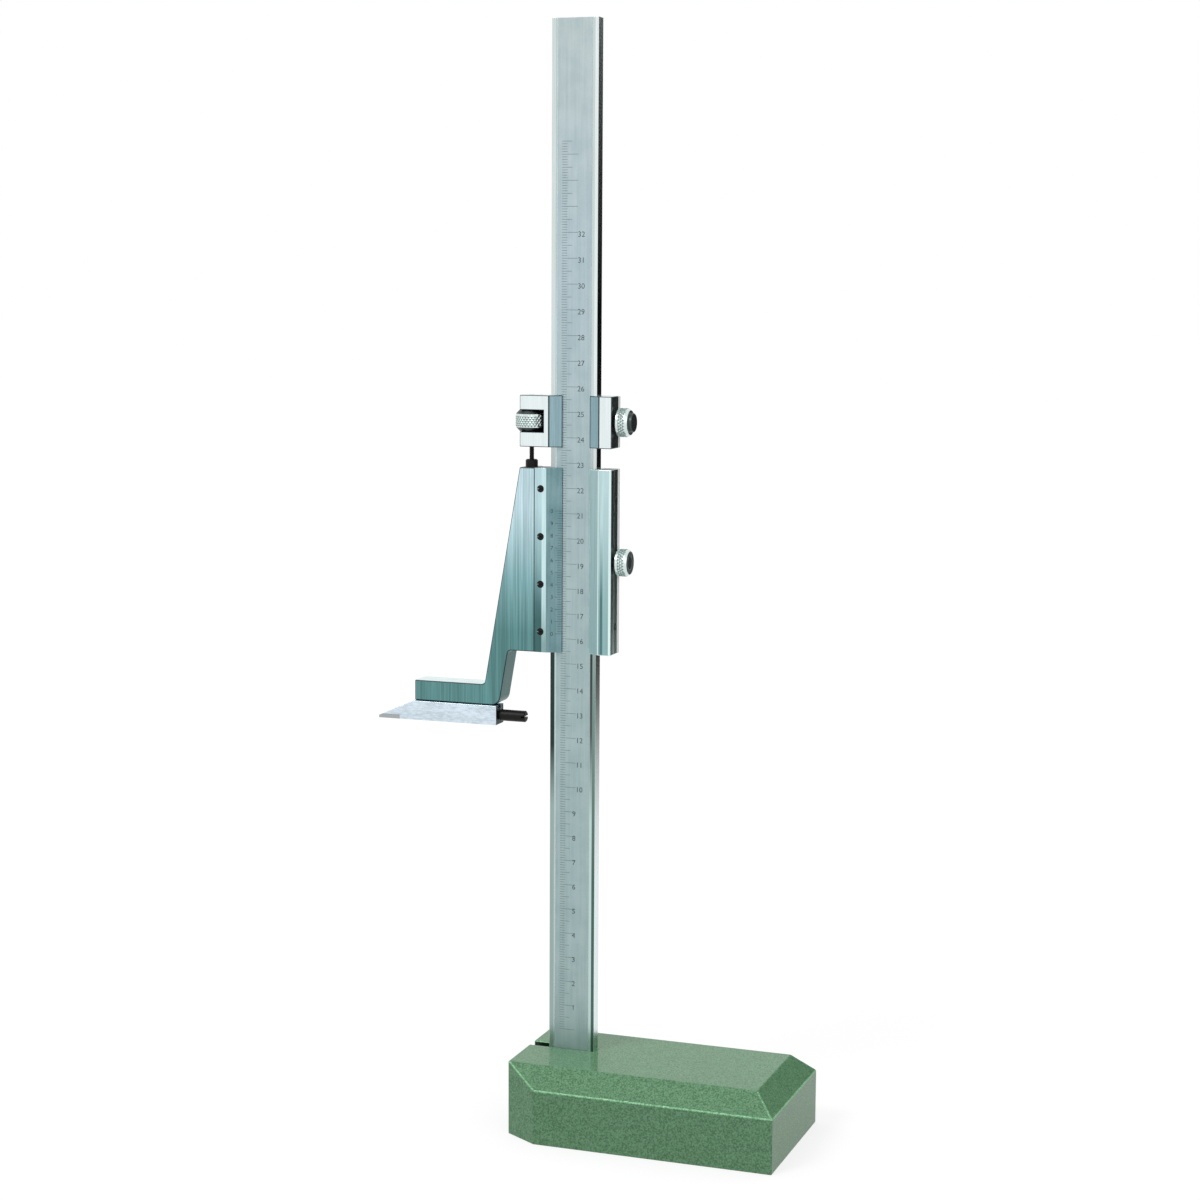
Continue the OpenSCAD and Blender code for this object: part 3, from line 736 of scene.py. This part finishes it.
# Vernier plate. A strip of matt plated steel with a flat flange, screwed to the slider by four
# black countersunk screws, and an edge that slopes down to the beam and carries the vernier.

vernier_dark = (0.15, 0.28, 0.30)
vernier_light = (0.25, 0.39, 0.42)
# Painted shade by height: the vernier's ground a little darker towards its foot.
vernier_painted_shade = [(192 * mm, (0.95, 0.95, 0.95)), (266 * mm, (1.0, 1.0, 1.0))]
vernier_low, vernier_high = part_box("vernier_plate")
vernier_edge = 0.1 * mm
vernier_line_width = 0.14 * mm
vernier_zero = vernier_low.z + 7.5 * mm
vernier_lines_in = 0.1 * mm
vernier_numerals_in = 4.6 * mm
vernier_step = 0.98 * mm
vernier_steps = 50
tip_thickness = 0.25 * mm
slope_from = -0.9 * mm
vernier_line = 1.7 * mm
vernier_long_line = 2.6 * mm
vernier_numeral = 1.6 * mm
flange_split = -2.8 * mm
# Painted shade by height on the flange, and a painted highlight beside the slope.
flange_painted_shade = [
    (205 * mm, (0.06, 0.14, 0.14)), (212 * mm, (0.09, 0.19, 0.20)),
    (229 * mm, (0.27, 0.45, 0.47)), (251 * mm, (0.48, 0.66, 0.71)),
]
flange_painted_highlight = [
    (196 * mm, (0.26, 0.40, 0.40)), (212 * mm, (0.54, 0.74, 0.77)), (225 * mm, (0.62, 0.83, 0.86)),
]

vernier_strip = broken_edges("vernier_plate", "vernier_strip", vernier_edge)
dressed(vernier_strip, satin_chrome("vernier_ground", vernier_dark, vernier_light, vernier_painted_shade))


def flange_colour(root):
    """The flange has a painted shade by height like the arm's, and a painted highlight beside the slope."""
    arm_like = by_height(root, flange_painted_shade)
    return across(root, beam_low.x + flange_split, arm_like, by_height(root, flange_painted_highlight))


faced(vernier_strip, ground_steel("flange_steel", flange_colour, 0.28, 0.4 * mm, (1, 1, 0.015), 0.25),
      lambda face: face.center.y < vernier_low.y + near)
stands_for(vernier_strip, "vernier_plate")
dressed(frame["nodes"]["vernier_screws"], blackened)

slope_start = Vector((beam_low.x + slope_from, vernier_low.y, 0))
slope_end = Vector((vernier_high.x, vernier_high.y - tip_thickness, 0))
slope = slope_end - slope_start
slope_turn = Matrix.Rotation(math.atan2(slope.y, slope.x), 4, "Z")
slope_out = Vector((slope.y, -slope.x, 0)).normalized()


def on_slope(from_tip, height):
    """A point on the vernier's slope, a little proud of it, this far from its thin edge."""
    spot = slope_end - slope.normalized() * from_tip + slope_out * ink_depth / 2
    return Vector((spot.x, spot.y, height))


vernier_ink = inked("vernier_ink", (0.030, 0.055, 0.065))
vernier_lines = grown(ruled_lines(vernier_ink), "vernier_lines", {
    "Count": vernier_steps + 1, "Pitch": vernier_step, "Width": vernier_line_width, "Depth": ink_depth,
    "Short": vernier_line, "Middle": vernier_long_line, "Long": vernier_long_line,
    "Middle every": 5, "Long every": 10,
})
mirrored = Matrix.Rotation(math.pi, 4, "Y") @ Matrix.Scale(-1, 4, Vector((0, 0, 1)))
tip_spot = Matrix.Translation(on_slope(vernier_lines_in, vernier_zero))
vernier_lines.data.transform(tip_spot @ slope_turn @ mirrored)
vernier_lines.data.flip_normals()
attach(vernier_lines, "slider")

marks = range(11)
vernier_spots = [on_slope(vernier_numerals_in, vernier_zero + n * 5 * vernier_step) for n in marks]
vernier_numerals = row_of_numerals(
    "vernier_numerals", [str(n % 10) for n in marks], vernier_spots, vernier_numeral, slope_turn)
dressed(vernier_numerals, vernier_ink)
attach(vernier_numerals, "slider")


# Slider's clamp screw. Turned from bright steel with a diamond knurl round its head; it presses a
# small brass pad against the gib.

knurl_depth = 0.22 * mm
knurl_pitch = 1.3 * mm
knob_tint = (0.76, 0.88, 0.85)
knob_gap = 0.9 * mm
slider_head_radius = 5.5 * mm
clamp_shank = 2 * mm
point_bevel = 0.4 * mm
face_bevel = 0.7 * mm
end_bevel = 0.9 * mm
rim_bevel = 0.15 * mm
hollow_depth = 0.25 * mm
lathe_sides = 72


def laid(axis, place):
    """The turn and the move that lay a shape made along Z on its own axis, which is X or Z."""
    turn = Matrix.Rotation(math.radians(90), 4, "Y") if axis == "X" else Matrix.Identity(4)
    return Matrix.Translation(place) @ turn


def turned(name, outline, place, axis):
    """A closed lathe shape from (radius, distance) points, along its axis from its place."""
    shape = bmesh.new()
    rings = []
    for radius, distance in outline:
        if radius < 1e-7:
            rings.append([shape.verts.new((0, 0, distance))])
            continue
        turns = [2 * math.pi * side / lathe_sides for side in range(lathe_sides)]
        spots = [(radius * math.cos(t), radius * math.sin(t), distance) for t in turns]
        rings.append([shape.verts.new(spot) for spot in spots])
    for low, high in zip(rings, rings[1:]):
        for side in range(lathe_sides):
            corners = [
                low[side % len(low)], low[(side + 1) % len(low)],
                high[(side + 1) % len(high)], high[side % len(high)],
            ]
            shape.faces.new(list(dict.fromkeys(corners)))
    if len(rings[0]) > 1 and outline[0] == outline[-1]:
        bmesh.ops.remove_doubles(shape, verts=shape.verts, dist=0.0005 * mm)
    bmesh.ops.recalc_face_normals(shape, faces=shape.faces)
    shape.transform(laid(axis, place))
    return smoothed(object_of(name, shape), 25)


def diamond_knurl(material):
    """Small pyramids round a cylinder in staggered rows, so that their diamonds meet."""
    tree, root, size = geometry_tree("diamond_knurl", {
        "Radius": "Float", "Depth": "Float", "Width": "Float", "Teeth": "Int", "Rows": "Int",
    })
    index = root.node("GeometryNodeInputIndex", {}, {})
    row = root.node("ShaderNodeMath", {"operation": "FLOOR"}, {0: index / size["Teeth"]})
    step = 2 * math.pi / size["Teeth"]
    angle = (index + 0.5 * (row % 2.0)) * step
    row_gap = size["Width"] / (size["Rows"] + 1)
    root_radius = size["Radius"] - size["Depth"]
    spot = root.node("ShaderNodeCombineXYZ", {}, {
        "X": root_radius * root.node("ShaderNodeMath", {"operation": "COSINE"}, {0: angle}),
        "Y": root_radius * root.node("ShaderNodeMath", {"operation": "SINE"}, {0: angle}),
        "Z": (row + 1.0) * row_gap,
    })
    points = root.node("GeometryNodeMeshLine", {}, {"Count": size["Teeth"] * size["Rows"]})
    placed = root.node("GeometryNodeSetPosition", {}, {"Geometry": points, "Position": spot})
    half_width = root_radius * step * 0.5
    tooth = root.node("GeometryNodeMeshCone", {}, {
        "Vertices": 4, "Radius Top": 0.0, "Radius Bottom": 1.0, "Depth": 1.0,
    })
    shape = root.node("ShaderNodeCombineXYZ", {}, {"X": row_gap, "Y": half_width, "Z": size["Depth"]})
    facing = root.node("ShaderNodeCombineXYZ", {}, {"Y": math.pi / 2, "Z": angle})
    teeth = root.node("GeometryNodeInstanceOnPoints", {}, {
        "Points": placed, "Instance": tooth, "Rotation": facing, "Scale": shape,
    })
    end_tree(root, teeth, material)
    return tree


def joined(name, pieces):
    """One object of several, with the first one's material."""
    shape = bmesh.new()
    for piece in pieces:
        shape.from_mesh(piece.data)
    material = pieces[0].data.materials[0]
    for piece in pieces:
        bpy.data.objects.remove(piece)
    return dressed(object_of(name, shape), material)


def knurled(name, outline, place, axis, band, radius):
    """A turned shape with a knurl along its band, from one distance to another; the teeth's flanks that
    face right on a knob or down on a nut take a painted shade.
    """
    width = band[1] - band[0]
    teeth = round(2 * math.pi * radius / knurl_pitch)
    rows = 2 * round(width / (1.25 * knurl_pitch)) - 1
    ring = grown(knurl_tree, name + "_knurl", {
        "Radius": radius, "Depth": knurl_depth, "Width": width, "Teeth": teeth, "Rows": rows,
    })
    ring.data.transform(laid(axis, place) @ Matrix.Translation((0, 0, band[0])))
    core = dressed(turned(name + "_core", outline, place, axis), knob_steel)
    plain = len(core.data.polygons)
    away = Vector((1, 0, 0)) if axis == "X" else Vector((0, 0, -1))
    return faced(joined(name, [core, ring]), knurl_painted_shade,
                 lambda face: face.index >= plain and face.normal.dot(away) > 0.1)


def clamp_screw(name, node, head_radius, step=None):
    """A clamp screw with a plain shank and a knurled head; its shank, inner chamfer and the middle of its
    end take a painted shade.

    Its end has a shallow hollow, or a plain step of this radius and height."""
    low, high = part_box(node)
    point = Vector((low.x, (low.y + high.y) / 2, (low.z + high.z) / 2))
    face = bar_high.x + knob_gap - low.x
    end = high.x - low.x
    head_end = end - (step[1] if step else 0.0)
    inner = step[0] if step else 0.45 * head_radius
    sunk = head_radius - knurl_depth
    band = (face + face_bevel, head_end - end_bevel)
    outline = [
        (0, 0), (clamp_shank - point_bevel, 0), (clamp_shank, point_bevel), (clamp_shank, face),
        (head_radius - face_bevel, face), (sunk, band[0] - 0.1 * mm), (sunk, band[1] + 0.05 * mm),
        (head_radius - end_bevel, head_end), (inner, head_end),
    ]
    if step:
        outline += [(inner, end - rim_bevel), (inner - rim_bevel, end), (0, end)]
    else:
        outline += [(inner - rim_bevel, head_end - hollow_depth), (0, head_end - hollow_depth)]

    def oiled(spot):
        """Whether a face takes the painted shade: on the shank and inner chamfer, or in the middle of the
        end.
        """
        along = spot.center.x - low.x
        radius = math.hypot(spot.center.y - point.y, spot.center.z - point.z)
        in_middle = along > head_end - point_bevel and radius < inner + 0.02 * mm
        return in_middle or along < band[0] - 0.05 * mm

    return faced(knurled(name, outline, point, "X", band, head_radius), shade_painted_steel, oiled)


knob_steel = turned_steel("knob_steel", knob_tint, 0.26)
# Painted shade: darker steel for the knurl's flanks that face right or down.
knurl_painted_shade = turned_steel("knurl_painted_shade", (0.26, 0.34, 0.33), 0.34)
# Painted shade: near-black steel for the knobs' shanks, inner chamfers and end centres, the nut's chamfers
# and the scriber's end face.
shade_painted_steel = turned_steel("shade_painted_steel", (0.075, 0.09, 0.09), 0.38)
knurl_tree = diamond_knurl(knob_steel)
slider_knob = clamp_screw("slider_clamp_knob", "slider_clamp_screw", slider_head_radius)
stands_for(slider_knob, "slider_clamp_screw")

brass = grainy_metal("pad_brass", (0.55, 0.36, 0.13), (0.72, 0.52, 0.24), 0.15 * mm, (0.25, 0.12))
dressed(frame["nodes"]["slider_clamp_pad"], brass)


# Feed screw and its lock nut. A black threaded rod stands in the slider's top; the lock nut fixes
# it there, and the knurled nut climbs on it.

feed_pitch = 0.4 * mm
core_share = 0.4


def screw_thread(material):
    """A V thread: a diamond section that follows a helix, so that its outer half shows."""
    names = ("Radius", "Pitch", "Length")
    tree, root, size = geometry_tree("screw_thread", {name: "Float" for name in names})
    half_pitch = 0.5 * size["Pitch"]
    reach = size["Radius"] - half_pitch
    helix = root.node("GeometryNodeCurveSpiral", {}, {
        "Resolution": 20, "Rotations": size["Length"] / size["Pitch"], "Height": size["Length"],
        "Start Radius": reach, "End Radius": reach,
    })
    upright = root.node("GeometryNodeSetCurveNormal", {"mode": "Z_UP"}, {"Curve": helix})
    section = root.node("GeometryNodeCurvePrimitiveCircle", {}, {"Resolution": 4, "Radius": half_pitch})
    ridge = root.node("GeometryNodeCurveToMesh", {}, {
        "Curve": upright, "Profile Curve": section, "Fill Caps": True,
    })
    end_tree(root, ridge, material)
    return tree


rod_low, rod_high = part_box("feed_screw")
rod_centre = (rod_low + rod_high) / 2
rod_radius = (rod_high.y - rod_low.y) / 2
rod_shape = merged_copy("feed_screw")
for vertex in rod_shape.verts:
    out = vertex.co - rod_centre
    out.z = 0
    vertex.co -= out * (core_share * feed_pitch / rod_radius)
rod_core = dressed(smoothed(object_of("feed_rod_core", rod_shape), 30), blackened)
rod_thread = grown(screw_thread(blackened), "feed_rod_thread", {
    "Radius": rod_radius, "Pitch": feed_pitch, "Length": rod_high.z - bar_high.z - 3 * feed_pitch,
})
rod_thread.data.transform(Matrix.Translation((rod_centre.x, rod_centre.y, bar_high.z + feed_pitch)))
feed_rod = joined("feed_rod", [rod_core, rod_thread])
stands_for(feed_rod, "feed_screw")
dressed(frame["nodes"]["feed_screw_locknut"], blackened)


# Feed block. A short slider of bright ground steel above the main one: a left member slotted for
# the nut, a right member and a back plate, held by four slotted screws.

feed_tint = (0.80, 0.88, 0.89)
feed_slope_painted_shade = (0.27, 0.41, 0.45)
feed_edge = 0.3 * mm
notch_play = 0.8 * mm
feed_slope_area = 10 * mm * mm
feed_steel = ground_steel("feed_steel", feed_tint, 0.30, 0.45 * mm, (1, 1, 0.03), 0.08)
feed_side_shade = ground_steel("feed_side_shade_steel", (0.30, 0.36, 0.35), 0.30)
feed_slope_steel = ground_steel("feed_slope_steel", feed_slope_painted_shade, 0.32, 0.4 * mm, (1, 1, 0.03), 0.20)
nut_low, nut_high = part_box("feed_nut")


def in_notch(face):
    """Whether a face of the block lies in the nut's slot."""
    spot = face.center
    inside = all(nut_low[i] - notch_play < spot[i] < nut_high[i] + notch_play for i in range(3))
    return inside and abs(face.normal.y) < 0.5


for node, name in (("feed_block", "feed_left_block"), ("feed_block_rail", "feed_right_bar")):
    piece = dressed(broken_edges(node, name, feed_edge, own_edges=True), feed_steel, dark_edge)
    # Painted shade and reflection: the sloping faces are given darker steel than the fronts.
    faced(piece, feed_slope_steel, lambda face: sloping(face) and face.area > feed_slope_area)
    # Painted shade: the blocks' right sides are given dark steel.
    faced(piece, feed_side_shade, lambda face: face.normal.x > 0.9)
    # Painted shade: the faces of the nut's slot are given black steel.
    faced(piece, blackened, in_notch)
    stands_for(piece, node)
feed_plate = dressed(broken_edges("feed_block_back_plate", "feed_rear_plate", feed_edge), plate_steel)
stands_for(feed_plate, "feed_block_back_plate")
dressed(frame["nodes"]["feed_block_back_screws"], screw_steel)


# Feed nut. A thin bright steel nut with a knurled rim and wide chamfers, captive in the feed
# block's slot; turning it carries the feed block or the slider along the feed screw.

nut_radius = (nut_high.x - nut_low.x) / 2
nut_height = nut_high.z - nut_low.z
nut_chamfer = 1.7 * mm
nut_bore = 1.05 * mm
nut_centre = Vector(((nut_low.x + nut_high.x) / 2, (nut_low.y + nut_high.y) / 2, nut_low.z))
nut_sunk = nut_radius - knurl_depth
nut_band = (nut_chamfer, nut_height - nut_chamfer)
nut_outline = [
    (nut_bore, 0), (nut_radius - nut_chamfer, 0), (nut_sunk, nut_chamfer - 0.1 * mm),
    (nut_sunk, nut_height - nut_chamfer + 0.1 * mm), (nut_radius - nut_chamfer, nut_height),
    (nut_bore, nut_height), (nut_bore, 0),
]
knurled_nut = knurled("knurled_nut", nut_outline, nut_centre, "Z", nut_band, nut_radius)
nut_middle = nut_low.z + nut_height / 2
# The nut's chamfers take the painted shade.
faced(knurled_nut, shade_painted_steel,
      lambda face: abs(face.center.z - nut_middle) > nut_height / 2 - nut_chamfer + 0.05 * mm)
stands_for(knurled_nut, "feed_nut")


# Feed block's clamp screw. Turned from bright steel like the slider's, but a little larger and with
# a plain step on its end. It presses a brass pad of its own against the beam.

feed_head_radius = 5.75 * mm
feed_head_step = (3.7 * mm, 1.4 * mm)
feed_knob = clamp_screw("feed_clamp_knob", "feed_clamp_screw", feed_head_radius, feed_head_step)
stands_for(feed_knob, "feed_clamp_screw")
dressed(frame["nodes"]["feed_clamp_pad"], brass)


# Scriber. A bar of ground tool steel that hangs on the foot's dovetail, with a carbide insert
# brazed under its nose; a long black screw in its end locks it through a brass plug.

scriber_tint = (0.64, 0.74, 0.82)
scriber_edge = 0.15 * mm
scriber_steel = ground_steel("scriber_steel", scriber_tint, 0.24, 0.7 * mm, (0.3, 1, 1), 0.30)
scriber_bar = dressed(broken_edges("scriber", "scriber_bar", scriber_edge), scriber_steel)
# The scriber's right end face takes the painted shade.
faced(scriber_bar, shade_painted_steel, lambda face: face.normal.x > 0.9)
stands_for(scriber_bar, "scriber")

carbide = grainy_metal(
    "ground_carbide", (0.34, 0.36, 0.37), (0.46, 0.48, 0.49), 0.08 * mm, (0.30, 0.15), detail=3.0)
dressed(frame["nodes"]["scriber_tip"], carbide)
dressed(frame["nodes"]["scriber_lock_plug"], brass)
dressed(frame["nodes"]["scriber_lock_screw"], blackened)


# Camera and studio. The camera stands a little right of the gauge's front and looks slightly down.
# The floor is plain and pale, the light is soft, and one dark card behind is only reflected.

camera_turn = 0.344803
camera_pitch = 0.129163
camera_roll = 0.005423
camera_spot = Vector((0.304264, -0.921658, 0.341446))
forward = Vector((
    -math.sin(camera_turn) * math.cos(camera_pitch),
    math.cos(camera_turn) * math.cos(camera_pitch),
    -math.sin(camera_pitch),
))
level = Vector((math.cos(camera_turn), math.sin(camera_turn), 0))
above = level.cross(forward)
right = level * math.cos(camera_roll) + above * math.sin(camera_roll)
upward = above * math.cos(camera_roll) - level * math.sin(camera_roll)
camera = bpy.data.objects.new("camera", bpy.data.cameras.new("camera"))
camera.data.lens = 74.98
camera.data.sensor_width = 36
camera.data.clip_start = 0.01
camera_axes = Matrix((right, upward, -forward)).transposed().to_4x4()
camera.matrix_world = Matrix.Translation(camera_spot) @ camera_axes
bpy.context.scene.collection.objects.link(camera)
bpy.context.scene.camera = camera


def seen_directly(root):
    """1 for what the camera sees straight, in a mirror or through glass, and 0 for other light."""
    kinds = ["Is Camera Ray", "Is Glossy Ray", "Is Transmission Ray"]
    rays = [root.node("ShaderNodeLightPath", {}, {}, kind) for kind in kinds]
    total = rays[0] + rays[1] + rays[2]
    return root.node("ShaderNodeMath", {"operation": "MINIMUM"}, {0: total, 1: 1.0})


def pale_floor():
    """White studio floor: it keeps the object's shadow, and is white where nothing shades it."""
    material, root = new_material("pale_floor")
    matt = root.node("ShaderNodeBsdfDiffuse", {}, {"Color": (0.30, 0.30, 0.30, 1.0)})
    glow = root.node("ShaderNodeEmission", {}, {"Strength": 0.74 * seen_directly(root)})
    return finished(material, root, root.node("ShaderNodeAddShader", {}, {0: matt, 1: glow}))


def dark_paint():
    """Nearly black, and lit by nothing."""
    material, root = new_material("dark_card")
    glow = root.node("ShaderNodeEmission", {}, {"Color": (0.004, 0.006, 0.006, 1.0), "Strength": 1.0})
    return finished(material, root, glow)


def studio_sheet(name, corners, material):
    """A flat sheet that stands in the studio and isn't part of the gauge."""
    mesh = bpy.data.meshes.new(name)
    mesh.from_pydata(corners, [], [(0, 1, 2, 3)])
    sheet = dressed(loose_object(name, mesh), material)
    return sheet


floor_half = 6.0
floor_level = -0.02 * mm
floor_turns = ((-1, -1), (1, -1), (1, 1), (-1, 1))
floor_corners = [(x * floor_half, y * floor_half, floor_level) for x, y in floor_turns]
studio_sheet("floor", floor_corners, pale_floor())

card_place = Vector((0.42, 0.95, 0))
card_across = Vector((-1, 0.4, 0)).normalized() * 0.45
card_up = Vector((0, 0, 0.60))
card_corners = [
    card_place - card_across, card_place + card_across,
    card_place + card_across + card_up, card_place - card_across + card_up,
]
dark_card = studio_sheet("dark_card", card_corners, dark_paint())
dark_card.visible_camera = False
dark_card.visible_diffuse = False
dark_card.visible_shadow = False

world = bpy.data.worlds.new("studio")
bpy.context.scene.world = world
world.use_nodes = True
world.node_tree.nodes.clear()
sky = Wire(world.node_tree)
room_light = 0.72
brightness = room_light + (1.0 - room_light) * seen_directly(sky)
surround = sky.node("ShaderNodeBackground", {}, {"Color": (1.0, 1.0, 1.0, 1.0), "Strength": brightness})
sky.node("ShaderNodeOutputWorld", {}, {"Surface": surround})

for name, strength, softness, direction in (
    ("key_light", 0.9, 22, Vector((0.45, 0.75, -0.85))),
    ("fill_light", 0.25, 40, Vector((-0.8, 0.6, -0.4))),
):
    lamp = bpy.data.objects.new(name, bpy.data.lights.new(name, "SUN"))
    lamp.data.energy = strength
    lamp.data.angle = math.radians(softness)
    lamp.rotation_euler = direction.to_track_quat("-Z", "Y").to_euler()
    bpy.context.scene.collection.objects.link(lamp)

bpy.context.scene.view_settings.view_transform = "Standard"
